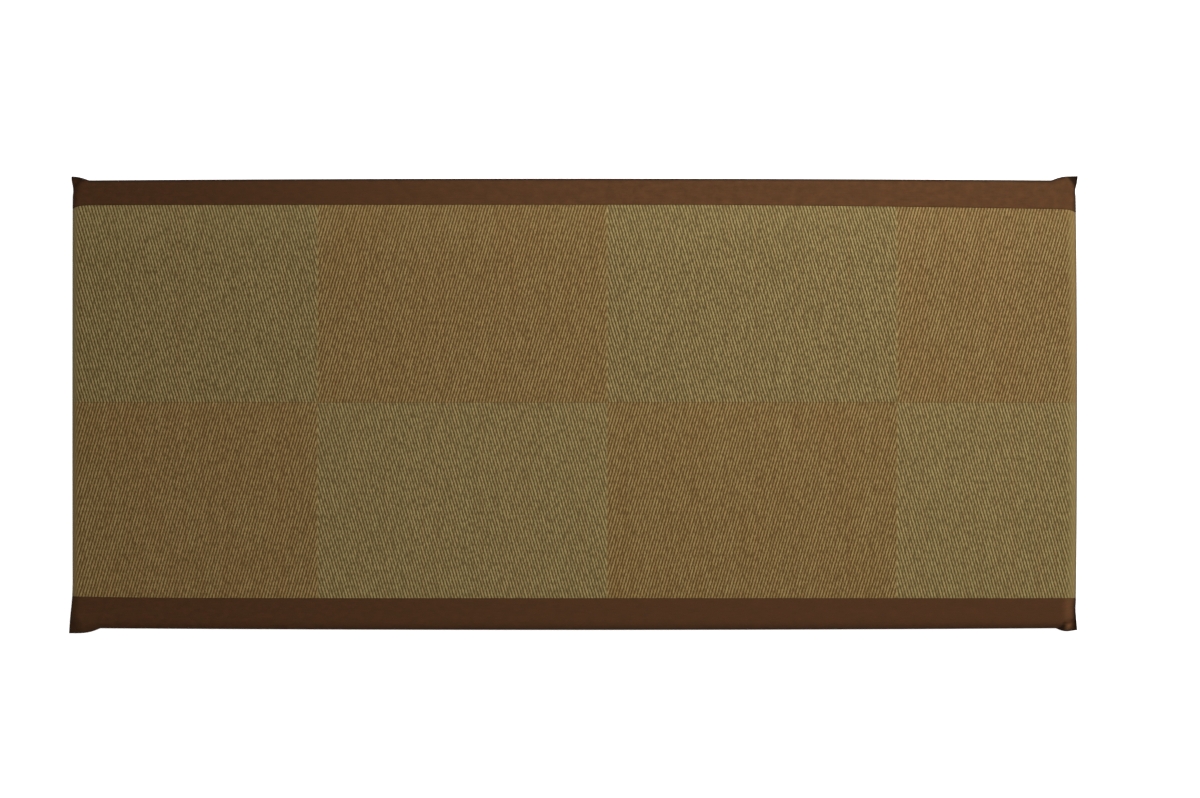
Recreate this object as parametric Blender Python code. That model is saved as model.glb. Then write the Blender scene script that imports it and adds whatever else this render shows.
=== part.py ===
"""Tatami mattress: a flat padded floor mat in four pieces.

A panel of woven rush lies on top and turns down over both short ends. Brown cloth borders run
along both long sides. All three are sewn at mid-height to a brown base cloth that holds the
filling. The cover is a little bigger than its filling, so it stands out as an ear at each corner.

Metres. +X runs along the mat, +Y across it and +Z up. The underside lies at z = 0.
"""

import math
from collections import namedtuple

import bmesh
import bpy
from mathutils import Vector

# Plan of the cover at its side seam, for the corners of a plain rectangle
LEFT_END = -0.9917
RIGHT_END = 0.9953
FAR_SIDE = 0.4437
NEAR_SIDE = -0.4420
HALF_LENGTH = (RIGHT_END - LEFT_END) / 2
HALF_WIDTH = (FAR_SIDE - NEAR_SIDE) / 2
MIDDLE_X = (RIGHT_END + LEFT_END) / 2
MIDDLE_Y = (FAR_SIDE + NEAR_SIDE) / 2

# How far each edge bows out half way along
LEFT_BOW = 0.0006
RIGHT_BOW = 0.0033
FAR_BOW = 0.0038
NEAR_BOW = 0.0036

# Heights and rounding
THICKNESS = 0.025
SEAM_HEIGHT = 0.011
EDGE_ROUND = 0.013
LOWER_ROUND = 0.009
SLAB_CORNER = 0.026
SIDE_CROWN = 0.0045
SIDE_CROWN_REACH = 0.220
END_CROWN = 0.0030
END_CROWN_REACH = 0.160

# Thicknesses of the cloths, and the gap that neighbouring solids keep
RUSH_THICK = 0.0025
BORDER_THICK = 0.0013
BASE_THICK = 0.0014
GAP = 0.0003

# Seams between the rush and the borders. The far one slants in towards the right end and dips in the
# last stretch at both ends, and the near one rises at the left end.
FAR_SEAM = 0.3962
FAR_SLANT = 0.0085
FAR_SLANT_START = 0.20
FAR_SLANT_LENGTH = 0.75
FAR_END_DIP = 0.0070
FAR_END_DIP_LENGTH = 0.010
NEAR_SEAM = -0.3828
NEAR_LEFT_RISE = 0.0035
NEAR_LEFT_RISE_LENGTH = 0.15
SEAM_GROOVE = 0.0009

# Rows of cloth either side of that seam: distance from it, and how far the cloth dips there
SeamRow = namedtuple("SeamRow", "distance dip filling_dip")
SEAM_ROWS = (
    SeamRow(distance=0.000, dip=SEAM_GROOVE, filling_dip=RUSH_THICK + GAP),
    SeamRow(distance=0.003, dip=0.0002, filling_dip=0.0022),
    SeamRow(distance=0.008, dip=0.0, filling_dip=BORDER_THICK + GAP),
)

# One row for each ear of the cover. side_x and side_y say which corner; out_x and out_y how far the
# tip stands out past the plain rectangle; fade_x and fade_y over what length that dies away along
# the short end and along the long side; shape how square the ear is; lift how high its tip sits
# above the side seam.
Ear = namedtuple("Ear", "side_x side_y out_x fade_x end_shape out_y fade_y side_shape lift")
EARS = (
    Ear(-1, +1, 0.0022, fade_x=0.013, end_shape=2, out_y=0.0078, fade_y=0.033, side_shape=2, lift=0.002),
    Ear(+1, +1, 0.0042, fade_x=0.018, end_shape=2, out_y=0.00863, fade_y=0.060, side_shape=2, lift=0.005),
    Ear(-1, -1, 0.0078, fade_x=0.075, end_shape=1, out_y=0.0103, fade_y=0.055, side_shape=3, lift=-0.003),
    Ear(+1, -1, 0.0032, fade_x=0.036, end_shape=1, out_y=0.0062, fade_y=0.039, side_shape=4, lift=0.003),
)
EAR_DEPTH = 0.030
EAR_LIFT_REACH = 0.036
EAR_FLAT_REACH = 0.016
EAR_ROUND_REACH = 0.042
BULGE_POWER = 1.2
SOFT_POWER = 1.5
NECK_PINCH = 0.0012
NECK_AT = 0.022
NECK_WIDTH = 0.007

# Creases pressed into the corners, each a straight soft ridge, or a trough where height is negative.
# Places are measured from the corner: in_x along the mat and in_y across it.
Crease = namedtuple("Crease", "side_x side_y in_x0 in_y0 in_x1 in_y1 height width")
CREASES = (
    Crease(+1, +1, in_x0=0.008, in_y0=0.020, in_x1=0.020, in_y1=0.004, height=0.0022, width=0.0055),
    Crease(+1, +1, in_x0=0.002, in_y0=0.011, in_x1=0.009, in_y1=0.003, height=-0.0026, width=0.0055),
    Crease(+1, -1, in_x0=0.013, in_y0=0.010, in_x1=0.017, in_y1=0.003, height=0.0022, width=0.0045),
    Crease(+1, -1, in_x0=0.004, in_y0=0.008, in_x1=0.014, in_y1=0.020, height=-0.0016, width=0.0040),
    Crease(+1, -1, in_x0=0.024, in_y0=0.008, in_x1=0.032, in_y1=0.004, height=-0.0016, width=0.0040),
    Crease(-1, +1, in_x0=0.006, in_y0=0.016, in_x1=0.020, in_y1=0.006, height=-0.0010, width=0.0060),
    Crease(-1, -1, in_x0=0.010, in_y0=0.030, in_x1=0.022, in_y1=0.006, height=0.0010, width=0.0070),
)

# Where the grids have their lines. The rounded edge takes ROUND_STEPS equal angles.
ROUND_STEPS = 5
CORNER_INSETS = (0.019, 0.026, 0.034, 0.044, 0.058, 0.080)
LENGTH_INSETS = (0.115, 0.165, 0.23, 0.31, 0.40, 0.51, 0.63, 0.76, 0.88)
BORDER_MIDDLE_ROWS = 2
RUSH_MIDDLE_ROWS = 7
LOWER_STEPS = 4

SHARP_ANGLE = math.radians(50)
BORDER_BROWN = (78, 50, 31)
RUSH_TAN = (121, 99, 61)
BASE_BROWN = (62, 41, 27)


def fade(distance, reach, power=2.0):
    """1 at distance 0, falling to 0 at reach."""
    return max(0.0, 1.0 - max(distance, 0.0) / reach) ** power


def bulge(distance, reach, shape):
    """1 at distance 0 and 0 at reach, staying high for longer where shape is bigger."""
    return max(0.0, 1.0 - (max(distance, 0.0) / reach) ** shape) ** BULGE_POWER


def side_of(value):
    return -1 if value < 0 else 1


def insets(flat_x, flat_y):
    """Distances of a point of the plain rectangle from its nearer end and its nearer side."""
    return HALF_LENGTH - abs(flat_x), HALF_WIDTH - abs(flat_y)


def seam_line(side, x):
    """Where the rush meets a border, as a distance across the mat from its middle."""
    if side > 0:
        slant_share = min(1.0, max(0.0, (x - FAR_SLANT_START) / FAR_SLANT_LENGTH))
        end_dip = FAR_END_DIP * math.exp(-(HALF_LENGTH - abs(x)) / FAR_END_DIP_LENGTH)
        line = FAR_SEAM - FAR_SLANT * slant_share**SOFT_POWER - end_dip
        bow = FAR_BOW
    else:
        line = NEAR_SEAM + NEAR_LEFT_RISE * math.exp(-(x + HALF_LENGTH) / NEAR_LEFT_RISE_LENGTH)
        bow = -NEAR_BOW
    # The cloth bows with the side, so the line's place on the plain rectangle leaves the bow out
    spread = (line / HALF_WIDTH) ** 2
    return line - MIDDLE_Y - bow * (1.0 - (x / HALF_LENGTH) ** 2) * spread


def slab_inset(inset_x, inset_y):
    """Distance inside the filling's rounded outline. It is negative in the empty corner of the cover."""
    if inset_x < SLAB_CORNER and inset_y < SLAB_CORNER:
        return SLAB_CORNER - math.hypot(SLAB_CORNER - inset_x, SLAB_CORNER - inset_y)
    return min(inset_x, inset_y)


def ear_of(flat_x, flat_y):
    corner = (side_of(flat_x), side_of(flat_y))
    return next(ear for ear in EARS if (ear.side_x, ear.side_y) == corner)


def plan(flat_x, flat_y, depth, ears=True):
    """Place on the floor plan of a point of the plain rectangle, on the skin at this depth."""
    side_x, side_y = side_of(flat_x), side_of(flat_y)
    inset_x, inset_y = insets(flat_x, flat_y)
    drawn_x = depth * fade(inset_x, EDGE_ROUND, 1.0)
    drawn_y = depth * fade(inset_y, EDGE_ROUND, 1.0)
    bow_x = (RIGHT_BOW if side_x > 0 else LEFT_BOW) * (1.0 - (flat_y / HALF_WIDTH) ** 2)
    bow_y = (FAR_BOW if side_y > 0 else NEAR_BOW) * (1.0 - (flat_x / HALF_LENGTH) ** 2)
    out_x = bow_x * (flat_x / HALF_LENGTH) ** 2 - drawn_x
    out_y = bow_y * (flat_y / HALF_WIDTH) ** 2 - drawn_y
    if ears:
        ear = ear_of(flat_x, flat_y)
        out_x += ear.out_x * bulge(inset_y, ear.fade_x, ear.end_shape) * fade(inset_x, EAR_DEPTH)
        out_y += ear.out_y * bulge(inset_x, ear.fade_y, ear.side_shape) * fade(inset_y, EAR_DEPTH)
    if side_y > 0:
        neck = math.exp(-((inset_y - NECK_AT) / NECK_WIDTH) ** 2)
        out_x -= NECK_PINCH * neck * fade(inset_x, EAR_DEPTH)
    return MIDDLE_X + flat_x + side_x * out_x, MIDDLE_Y + flat_y + side_y * out_y


def crease_height(flat_x, flat_y):
    corner = (side_of(flat_x), side_of(flat_y))
    here = Vector(insets(flat_x, flat_y))
    height = 0.0
    for crease in CREASES:
        if (crease.side_x, crease.side_y) != corner:
            continue
        start = Vector((crease.in_x0, crease.in_y0))
        along = Vector((crease.in_x1, crease.in_y1)) - start
        part_way = min(1.0, max(0.0, (here - start).dot(along) / along.length_squared))
        away = (here - start - along * part_way).length
        height += crease.height * math.exp(-(away / crease.width) ** 2)
    return height


def cornerness(inset_x, inset_y):
    """1 close to a corner of the cover, where it lies flat, and 0 along its rounded sides."""
    from_corner = max(inset_x, inset_y)
    return min(1.0, max(0.0, (EAR_ROUND_REACH - from_corner) / (EAR_ROUND_REACH - EAR_FLAT_REACH)))


def seam_height(flat_x, flat_y):
    """Height of the side seam, which rises or droops with each ear and follows its creases."""
    inset_x, inset_y = insets(flat_x, flat_y)
    lift = ear_of(flat_x, flat_y).lift * fade(math.hypot(inset_x, inset_y), EAR_LIFT_REACH, SOFT_POWER)
    return SEAM_HEIGHT + lift + crease_height(flat_x, flat_y)


def edge_rise(inset_x, inset_y):
    """How far up the rounded edge a point lies, from 0 at the side seam to 1 on top.

    Along the sides the edge is a quarter round. At a corner it is a slope, out to the flat ear.
    """
    part_up = min(1.0, max(0.0, slab_inset(inset_x, inset_y) / EDGE_ROUND))
    round_rise = math.sqrt(1.0 - (1.0 - part_up) ** 2)
    slope_rise = math.sin(part_up * math.pi / 2)
    return round_rise + (slope_rise - round_rise) * cornerness(inset_x, inset_y)


def skin(flat_x, flat_y, depth, lowered=0.0):
    """Point at this depth under the cover's upper face. Lowered drops its rim, for a neighbour below."""
    inset_x, inset_y = insets(flat_x, flat_y)
    rise = edge_rise(inset_x, inset_y)
    side_drop = SIDE_CROWN * fade(inset_y, SIDE_CROWN_REACH)
    end_drop = END_CROWN * fade(inset_x, END_CROWN_REACH)
    top = THICKNESS - side_drop - end_drop - depth
    seam = SEAM_HEIGHT - lowered
    creased = seam_height(flat_x, flat_y) - SEAM_HEIGHT
    flat_depth = (depth - lowered) * (1.0 - rise) * cornerness(inset_x, inset_y)
    x, y = plan(flat_x, flat_y, depth)
    return Vector((x, y, seam + (top - seam) * rise + creased - flat_depth))


def lower_skin(flat_x, flat_y, part_down):
    """Point of the base cloth's rounded lower edge: part_down is 0 under the side seam and 1 on the floor."""
    side_x, side_y = side_of(flat_x), side_of(flat_y)
    inset_x, inset_y = insets(flat_x, flat_y)
    # A point near a corner of the rectangle slides in to the filling's rounded corner
    from_centre = Vector((max(0.0, SLAB_CORNER - inset_x), max(0.0, SLAB_CORNER - inset_y)))
    at_corner = min(from_centre) > 0.0
    slide = Vector((0.0, 0.0))
    outwards = Vector((0.0, 1.0)) if inset_y < inset_x else Vector((1.0, 0.0))
    if at_corner:
        outwards = from_centre.normalized()
        slide = outwards * max(0.0, from_centre.length - SLAB_CORNER)
    flat_x -= side_x * slide.x
    flat_y -= side_y * slide.y
    angle = part_down * math.pi / 2
    inwards = outwards * (LOWER_ROUND * (1.0 - math.cos(angle)) + GAP)
    x, y = plan(flat_x, flat_y, 0.0, ears=False)
    under_ear = BORDER_THICK * cornerness(*insets(flat_x, flat_y))
    start = seam_height(flat_x, flat_y) - GAP - under_ear - BASE_THICK
    return Vector((x - side_x * inwards.x, y - side_y * inwards.y, start * (1.0 - math.sin(angle))))


def round_insets():
    """Insets of the grid lines over the rounded edge, from the rim inwards, at equal angles."""
    angles = [step * math.pi / 2 / ROUND_STEPS for step in range(ROUND_STEPS + 1)]
    return [EDGE_ROUND * (1.0 - math.cos(angle)) for angle in angles]


def length_lines():
    """Places along the plain rectangle of the grid lines that run across it."""
    half = [HALF_LENGTH - inset for inset in (*round_insets(), *CORNER_INSETS, *LENGTH_INSETS)]
    return [-x for x in half] + [0.0] + half[::-1]


# A row of a grid along the mat: a function that gives its place across the mat at each x, how far the
# sheet's face dips there, and how far below the skin the filling's face lies
Row = namedtuple("Row", "across dip filling_dip")


def seam_row(side, offset, dip, filling_dip):
    """A row that follows a seam, offset outwards from it, or inwards where offset is negative."""
    return Row(lambda x: seam_line(side, x) + side * offset, dip, filling_dip)


def border_rows(side):
    """Rows of a border from its seam out to the rim."""
    plain_dip = SEAM_ROWS[-1].filling_dip
    rows = [seam_row(side, row.distance + GAP / 2, row.dip, row.filling_dip) for row in SEAM_ROWS]
    last_offset = SEAM_ROWS[-1].distance
    for step in range(1, BORDER_MIDDLE_ROWS + 1):
        share = step / (BORDER_MIDDLE_ROWS + 1)

        def across(x, share=share):
            inner = seam_line(side, x) + side * last_offset
            outer = side * (HALF_WIDTH - EDGE_ROUND)
            return inner + (outer - inner) * share

        rows.append(Row(across, 0.0, plain_dip))
    for inset in round_insets()[::-1]:
        rows.append(Row(lambda x, inset=inset: side * (HALF_WIDTH - inset), 0.0, plain_dip))
    return rows


def rush_rows():
    """Rows of the rush panel from its near seam to its far seam."""
    full = RUSH_THICK + GAP
    near = [seam_row(-1, -row.distance - GAP / 2, row.dip, full) for row in SEAM_ROWS]
    far = [seam_row(1, -row.distance - GAP / 2, row.dip, full) for row in SEAM_ROWS]
    middle = []
    for step in range(1, RUSH_MIDDLE_ROWS + 1):
        share = step / (RUSH_MIDDLE_ROWS + 1)

        def across(x, share=share):
            return seam_line(-1, x) * (1 - share) + seam_line(1, x) * share

        middle.append(Row(across, 0.0, full))
    return near + middle + far[::-1]


def grid_on(columns, rows):
    """A flat grid whose points know their column and row, so that a skin function can place them."""
    mesh = bmesh.new()
    bmesh.ops.create_grid(mesh, x_segments=len(columns) - 1, y_segments=len(rows) - 1, size=0.5)
    address = mesh.verts.layers.float_vector.new("address")
    for point in mesh.verts:
        column = round((point.co.x + 0.5) * (len(columns) - 1))
        row = round((point.co.y + 0.5) * (len(rows) - 1))
        flat_x = columns[column]
        point[address] = (flat_x, rows[row].across(flat_x), row)
    return mesh, address


def extruded_points(result):
    return [item for item in result["geom"] if isinstance(item, bmesh.types.BMVert)]


def sheet_mesh(columns, rows, thick, pressed_at_seam):
    """A sheet that follows the upper skin. A stiff one is pressed thinner where its face dips at a seam,
    and a soft one keeps its thickness and dips as a whole."""
    mesh, address = grid_on(columns, rows)
    lower = set(extruded_points(bmesh.ops.extrude_face_region(mesh, geom=mesh.faces[:])))
    for point in mesh.verts:
        flat_x, flat_y, row = point[address]
        dip = rows[round(row)].dip
        lower_depth = thick if pressed_at_seam else thick + dip
        point.co = skin(flat_x, flat_y, lower_depth if point in lower else dip)
    bmesh.ops.recalc_face_normals(mesh, faces=mesh.faces[:])
    return mesh


def open_edges(mesh):
    return [edge for edge in mesh.edges if edge.is_boundary]


def base_mesh(columns, rows):
    """The filled base: its top under the sheets, a ledge at the side seam, and a rounded lower edge."""
    mesh, address = grid_on(columns, rows)
    for point in mesh.verts:
        flat_x, flat_y, row = point[address]
        point.co = skin(flat_x, flat_y, rows[round(row)].filling_dip, lowered=GAP)

    ledge = extruded_points(bmesh.ops.extrude_edge_only(mesh, edges=open_edges(mesh)))
    for point in ledge:
        flat_x, flat_y, _ = point[address]
        x, y = plan(flat_x, flat_y, 0.0)
        under_ear = BORDER_THICK * cornerness(*insets(flat_x, flat_y))
        point.co = (x, y, seam_height(flat_x, flat_y) - GAP - under_ear)

    hem = extruded_points(bmesh.ops.extrude_edge_only(mesh, edges=open_edges(mesh)))
    for point in hem:
        flat_x, flat_y, _ = point[address]
        point.co.z -= BASE_THICK

    for step in range(LOWER_STEPS + 1):
        ring = extruded_points(bmesh.ops.extrude_edge_only(mesh, edges=open_edges(mesh)))
        for point in ring:
            flat_x, flat_y, _ = point[address]
            point.co = lower_skin(flat_x, flat_y, step / LOWER_STEPS)
    bmesh.ops.contextual_create(mesh, geom=open_edges(mesh))
    bmesh.ops.recalc_face_normals(mesh, faces=mesh.faces[:])
    return mesh


def linear(colour):
    """Linear red, green and blue of a colour given in 0 to 255."""
    shares = [channel / 255 for channel in colour]
    return [share / 12.92 if share <= 0.04045 else ((share + 0.055) / 1.055) ** 2.4 for share in shares]


def cloth_material(name, colour, roughness):
    material = bpy.data.materials.new(name)
    material.use_nodes = True
    shader = material.node_tree.nodes["Principled BSDF"]
    shader.inputs["Base Color"].default_value = (*linear(colour), 1.0)
    shader.inputs["Roughness"].default_value = roughness
    shader.inputs["Metallic"].default_value = 0.0
    return material


def add_piece(name, mesh, origin, material, mat_empty, collection):
    """Turns a bmesh in the mat's frame into an object whose origin is at the given place."""
    bmesh.ops.translate(mesh, verts=mesh.verts[:], vec=-Vector(origin))
    data = bpy.data.meshes.new(name)
    mesh.to_mesh(data)
    mesh.free()
    data.shade_smooth()
    data.set_sharp_from_angle(angle=SHARP_ANGLE)
    data.materials.append(material)
    piece = bpy.data.objects.new(name, data)
    piece.location = origin
    piece.parent = mat_empty
    collection.objects.link(piece)
    return piece


def build_mat():
    for old in list(bpy.data.objects):
        bpy.data.objects.remove(old, do_unlink=True)
    collection = bpy.data.collections.new("tatami_mattress")
    bpy.context.scene.collection.children.link(collection)
    mat_empty = bpy.data.objects.new("tatami_mattress", None)
    collection.objects.link(mat_empty)

    border_cloth = cloth_material("border_cloth", BORDER_BROWN, 0.75)
    rush = cloth_material("rush", RUSH_TAN, 0.62)
    base_cloth = cloth_material("base_cloth", BASE_BROWN, 0.85)

    columns = length_lines()
    far_rows = border_rows(1)
    near_rows = border_rows(-1)[::-1]
    panel_rows = rush_rows()
    # The base has no gap at the seams, so one of each pair of seam rows is enough
    base_rows = near_rows[:-1] + panel_rows + far_rows[1:]

    far_mesh = sheet_mesh(columns, far_rows, BORDER_THICK, pressed_at_seam=False)
    near_mesh = sheet_mesh(columns, near_rows, BORDER_THICK, pressed_at_seam=False)
    rush_mesh = sheet_mesh(columns, panel_rows, RUSH_THICK, pressed_at_seam=True)
    filled_mesh = base_mesh(columns, base_rows)

    border_y = (FAR_SEAM + FAR_SIDE) / 2
    add_piece("border_far", far_mesh, (0.0, border_y, THICKNESS), border_cloth, mat_empty, collection)
    add_piece("border_near", near_mesh, (0.0, -border_y, THICKNESS), border_cloth, mat_empty, collection)
    add_piece("rush_panel", rush_mesh, (0.0, 0.0, THICKNESS), rush, mat_empty, collection)
    add_piece("padded_base", filled_mesh, (0.0, 0.0, 0.0), base_cloth, mat_empty, collection)


build_mat()
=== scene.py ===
# %% [markdown]
# # A tatami mattress
# A thin floor mat for sleeping or sitting. A cover of woven rush lies on top, two strips of brown cloth
# bind its long sides, and a brown base cloth holds the filling. Four flat pieces are cut, sewn together
# wrong side out, turned and filled, so the seams lie half way up the sides and the corners stand out as
# small ears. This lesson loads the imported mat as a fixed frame, then makes each cloth again with its
# weave, folds and seams.

import math
from collections import namedtuple

import bmesh
import bpy
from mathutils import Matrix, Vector, noise


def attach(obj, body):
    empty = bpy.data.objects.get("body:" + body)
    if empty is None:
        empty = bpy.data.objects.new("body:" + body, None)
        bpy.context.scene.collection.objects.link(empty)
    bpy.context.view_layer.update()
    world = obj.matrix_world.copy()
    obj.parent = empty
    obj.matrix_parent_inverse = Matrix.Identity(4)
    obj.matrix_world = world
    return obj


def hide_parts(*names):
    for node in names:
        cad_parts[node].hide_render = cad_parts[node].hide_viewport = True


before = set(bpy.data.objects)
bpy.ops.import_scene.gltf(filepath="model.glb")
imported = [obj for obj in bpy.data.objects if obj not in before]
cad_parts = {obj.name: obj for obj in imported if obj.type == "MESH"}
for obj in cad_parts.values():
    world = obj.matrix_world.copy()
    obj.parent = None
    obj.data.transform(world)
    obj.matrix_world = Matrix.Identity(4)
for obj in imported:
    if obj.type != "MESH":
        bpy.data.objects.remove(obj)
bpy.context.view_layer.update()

# %% [markdown]
# ## The shape that all four cloths share
# Every cloth of the mat lies on one skin, so one function that gives a point of that skin serves them
# all. Its inputs are a place on a plain rectangle and a depth below the surface. The rectangle is the
# cover as it was cut, and the function adds what filling it does: the crown, the rounded sides, the
# sides that bow out half way along, and the ears. Moving the points of a flat grid this way keeps every
# piece close on its neighbour, which separate modelling by eye would not.

# %% Plan of the cover
LEFT_END = -0.9917
RIGHT_END = 0.9953
FAR_SIDE = 0.4437
NEAR_SIDE = -0.4434
HALF_LENGTH = (RIGHT_END - LEFT_END) / 2
HALF_WIDTH = (FAR_SIDE - NEAR_SIDE) / 2
MIDDLE_X = (RIGHT_END + LEFT_END) / 2
MIDDLE_Y = (FAR_SIDE + NEAR_SIDE) / 2

# How far each edge bows out half way along
LEFT_BOW = 0.0006
RIGHT_BOW = 0.0033
FAR_BOW = 0.0038
NEAR_BOW = 0.0036


def fade(distance, reach, power=2.0):
    """1 at distance 0, falling to 0 at reach."""
    return max(0.0, 1.0 - max(distance, 0.0) / reach) ** power


def side_of(value):
    return -1 if value < 0 else 1


def insets(flat_x, flat_y):
    """Distances of a point of the rectangle from its nearer end and its nearer side."""
    return HALF_LENGTH - abs(flat_x), HALF_WIDTH - abs(flat_y)


print("cover", round(2 * HALF_LENGTH, 4), "by", round(2 * HALF_WIDTH, 4), "m at its side seam")

# %% Heights and rounding
THICKNESS = 0.025
SEAM_HEIGHT = 0.011
EDGE_ROUND = 0.013
LOWER_ROUND = 0.009
SLAB_CORNER = 0.026
SIDE_CROWN = 0.0045
SIDE_CROWN_REACH = 0.220
END_CROWN = 0.0030
END_CROWN_REACH = 0.160
RUSH_THICK = 0.0025
BORDER_THICK = 0.0013
BASE_THICK = 0.0014
GAP = 0.0003


def slab_inset(inset_x, inset_y):
    """Distance inside the filling's rounded outline. It is negative in the empty corner of the cover."""
    if inset_x < SLAB_CORNER and inset_y < SLAB_CORNER:
        return SLAB_CORNER - math.hypot(SLAB_CORNER - inset_x, SLAB_CORNER - inset_y)
    return min(inset_x, inset_y)


print("the side seam is", SEAM_HEIGHT, "m up and the top is", THICKNESS, "m up")

# %% [markdown]
# ## Ears and creases
# Filling never reaches the very corner of a sewn cover, so the corner lies flat and stands out as an
# ear. No two ears are alike: one is square and folded over at its tip, one is a small flap, one a long
# slanting flare, and one is crumpled. Each is a row of a table, so the same few lines of code shape
# all four, and a crease is a soft ridge or trough along a short line.

# %% Ears
Ear = namedtuple("Ear", "side_x side_y out_x fade_x end_shape out_y fade_y side_shape lift")
EARS = (
    Ear(-1, +1, 0.0022, fade_x=0.013, end_shape=2, out_y=0.0078, fade_y=0.033, side_shape=2, lift=0.002),
    Ear(+1, +1, 0.0042, fade_x=0.018, end_shape=2, out_y=0.00863, fade_y=0.048, side_shape=3, lift=0.005),
    Ear(-1, -1, 0.0078, fade_x=0.075, end_shape=1, out_y=0.0103, fade_y=0.055, side_shape=3, lift=-0.003),
    Ear(+1, -1, 0.0032, fade_x=0.036, end_shape=1, out_y=0.0066, fade_y=0.039, side_shape=4, lift=0.003),
)
NEAR_RIGHT_TIP_IN = 0.0030
TIP_REACH = 0.018
EAR_DEPTH = 0.030
EAR_LIFT_REACH = 0.036
EAR_FLAT_REACH = 0.016
EAR_ROUND_REACH = 0.042
BULGE_POWER = 1.2
SOFT_POWER = 1.5
NECK_PINCH = 0.0012
NECK_AT = 0.022
NECK_WIDTH = 0.007


def bulge(distance, reach, shape):
    """1 at distance 0 and 0 at reach, staying high for longer where shape is bigger."""
    return max(0.0, 1.0 - (max(distance, 0.0) / reach) ** shape) ** BULGE_POWER


def ear_of(flat_x, flat_y):
    corner = (side_of(flat_x), side_of(flat_y))
    return next(ear for ear in EARS if (ear.side_x, ear.side_y) == corner)


def cornerness(inset_x, inset_y):
    """1 close to a corner of the cover, where it lies flat, and 0 along its rounded sides."""
    from_corner = max(inset_x, inset_y)
    return min(1.0, max(0.0, (EAR_ROUND_REACH - from_corner) / (EAR_ROUND_REACH - EAR_FLAT_REACH)))


def plan(flat_x, flat_y, depth, ears=True):
    """Place on the floor plan of a point of the rectangle, on the skin at this depth."""
    side_x, side_y = side_of(flat_x), side_of(flat_y)
    inset_x, inset_y = insets(flat_x, flat_y)
    bow_x = (RIGHT_BOW if side_x > 0 else LEFT_BOW) * (1.0 - (flat_y / HALF_WIDTH) ** 2)
    bow_y = (FAR_BOW if side_y > 0 else NEAR_BOW) * (1.0 - (flat_x / HALF_LENGTH) ** 2)
    out_x = bow_x * (flat_x / HALF_LENGTH) ** 2 - depth * fade(inset_x, EDGE_ROUND, 1.0)
    out_y = bow_y * (flat_y / HALF_WIDTH) ** 2 - depth * fade(inset_y, EDGE_ROUND, 1.0)
    if ears:
        ear = ear_of(flat_x, flat_y)
        out_x += ear.out_x * bulge(inset_y, ear.fade_x, ear.end_shape) * fade(inset_x, EAR_DEPTH)
        out_y += ear.out_y * bulge(inset_x, ear.fade_y, ear.side_shape) * fade(inset_y, EAR_DEPTH)
    if ears and side_x > 0 > side_y:
        out_y -= NEAR_RIGHT_TIP_IN * fade(inset_x, TIP_REACH, 1.0) * fade(inset_y, EAR_DEPTH)
    # The seam of a far ear draws the end in a little, like a neck
    if side_y > 0:
        neck = math.exp(-((inset_y - NECK_AT) / NECK_WIDTH) ** 2)
        out_x -= NECK_PINCH * neck * fade(inset_x, EAR_DEPTH)
    return MIDDLE_X + flat_x + side_x * out_x, MIDDLE_Y + flat_y + side_y * out_y


near_left_tip = plan(-HALF_LENGTH, -HALF_WIDTH, 0.0)
print("tip of the near left ear at", [round(value, 4) for value in near_left_tip])

# %% Creases
Crease = namedtuple("Crease", "side_x side_y in_x0 in_y0 in_x1 in_y1 height width")
CREASES = (
    Crease(+1, +1, in_x0=0.007, in_y0=0.018, in_x1=0.019, in_y1=0.003, height=0.0028, width=0.0036),
    Crease(+1, +1, in_x0=0.000, in_y0=0.011, in_x1=0.011, in_y1=0.000, height=-0.0044, width=0.0058),
    Crease(+1, +1, in_x0=0.000, in_y0=0.004, in_x1=0.004, in_y1=0.000, height=-0.0032, width=0.0060),
    Crease(+1, -1, in_x0=0.013, in_y0=0.008, in_x1=0.018, in_y1=0.006, height=0.0036, width=0.0032),
    Crease(+1, -1, in_x0=0.009, in_y0=0.016, in_x1=0.023, in_y1=0.013, height=-0.0022, width=0.0030),
    Crease(+1, -1, in_x0=0.008, in_y0=0.000, in_x1=0.024, in_y1=0.001, height=-0.0022, width=0.0032),
    Crease(+1, -1, in_x0=0.003, in_y0=0.003, in_x1=0.002, in_y1=0.044, height=-0.0030, width=0.0038),
    Crease(+1, -1, in_x0=0.024, in_y0=0.007, in_x1=0.031, in_y1=0.002, height=-0.0034, width=0.0040),
    Crease(-1, +1, in_x0=0.003, in_y0=0.016, in_x1=0.016, in_y1=0.004, height=-0.0014, width=0.0050),
    Crease(-1, -1, in_x0=0.010, in_y0=0.030, in_x1=0.022, in_y1=0.006, height=0.0014, width=0.0060),
)
CREASED_CORNER = 0.060


def crease_heights(flat_x, flat_y):
    """What each crease near this place adds to its height."""
    here = Vector(insets(flat_x, flat_y))
    if max(here) > CREASED_CORNER:
        return [0.0]
    corner = (side_of(flat_x), side_of(flat_y))
    heights = [0.0]
    for crease in CREASES:
        if (crease.side_x, crease.side_y) != corner:
            continue
        start = Vector((crease.in_x0, crease.in_y0))
        along = Vector((crease.in_x1, crease.in_y1)) - start
        along_share = min(1.0, max(0.0, (here - start).dot(along) / along.length_squared))
        away = (here - start - along * along_share).length
        heights.append(crease.height * math.exp(-(away / crease.width) ** 2))
    return heights


def seam_height(flat_x, flat_y):
    """Height of the side seam, which rises or droops with each ear and follows its creases."""
    inset_x, inset_y = insets(flat_x, flat_y)
    lift = ear_of(flat_x, flat_y).lift * fade(math.hypot(inset_x, inset_y), EAR_LIFT_REACH, SOFT_POWER)
    return SEAM_HEIGHT + lift + sum(crease_heights(flat_x, flat_y))


print(len(CREASES), "creases, the deepest of them", -min(crease.height for crease in CREASES), "m deep")


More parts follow.
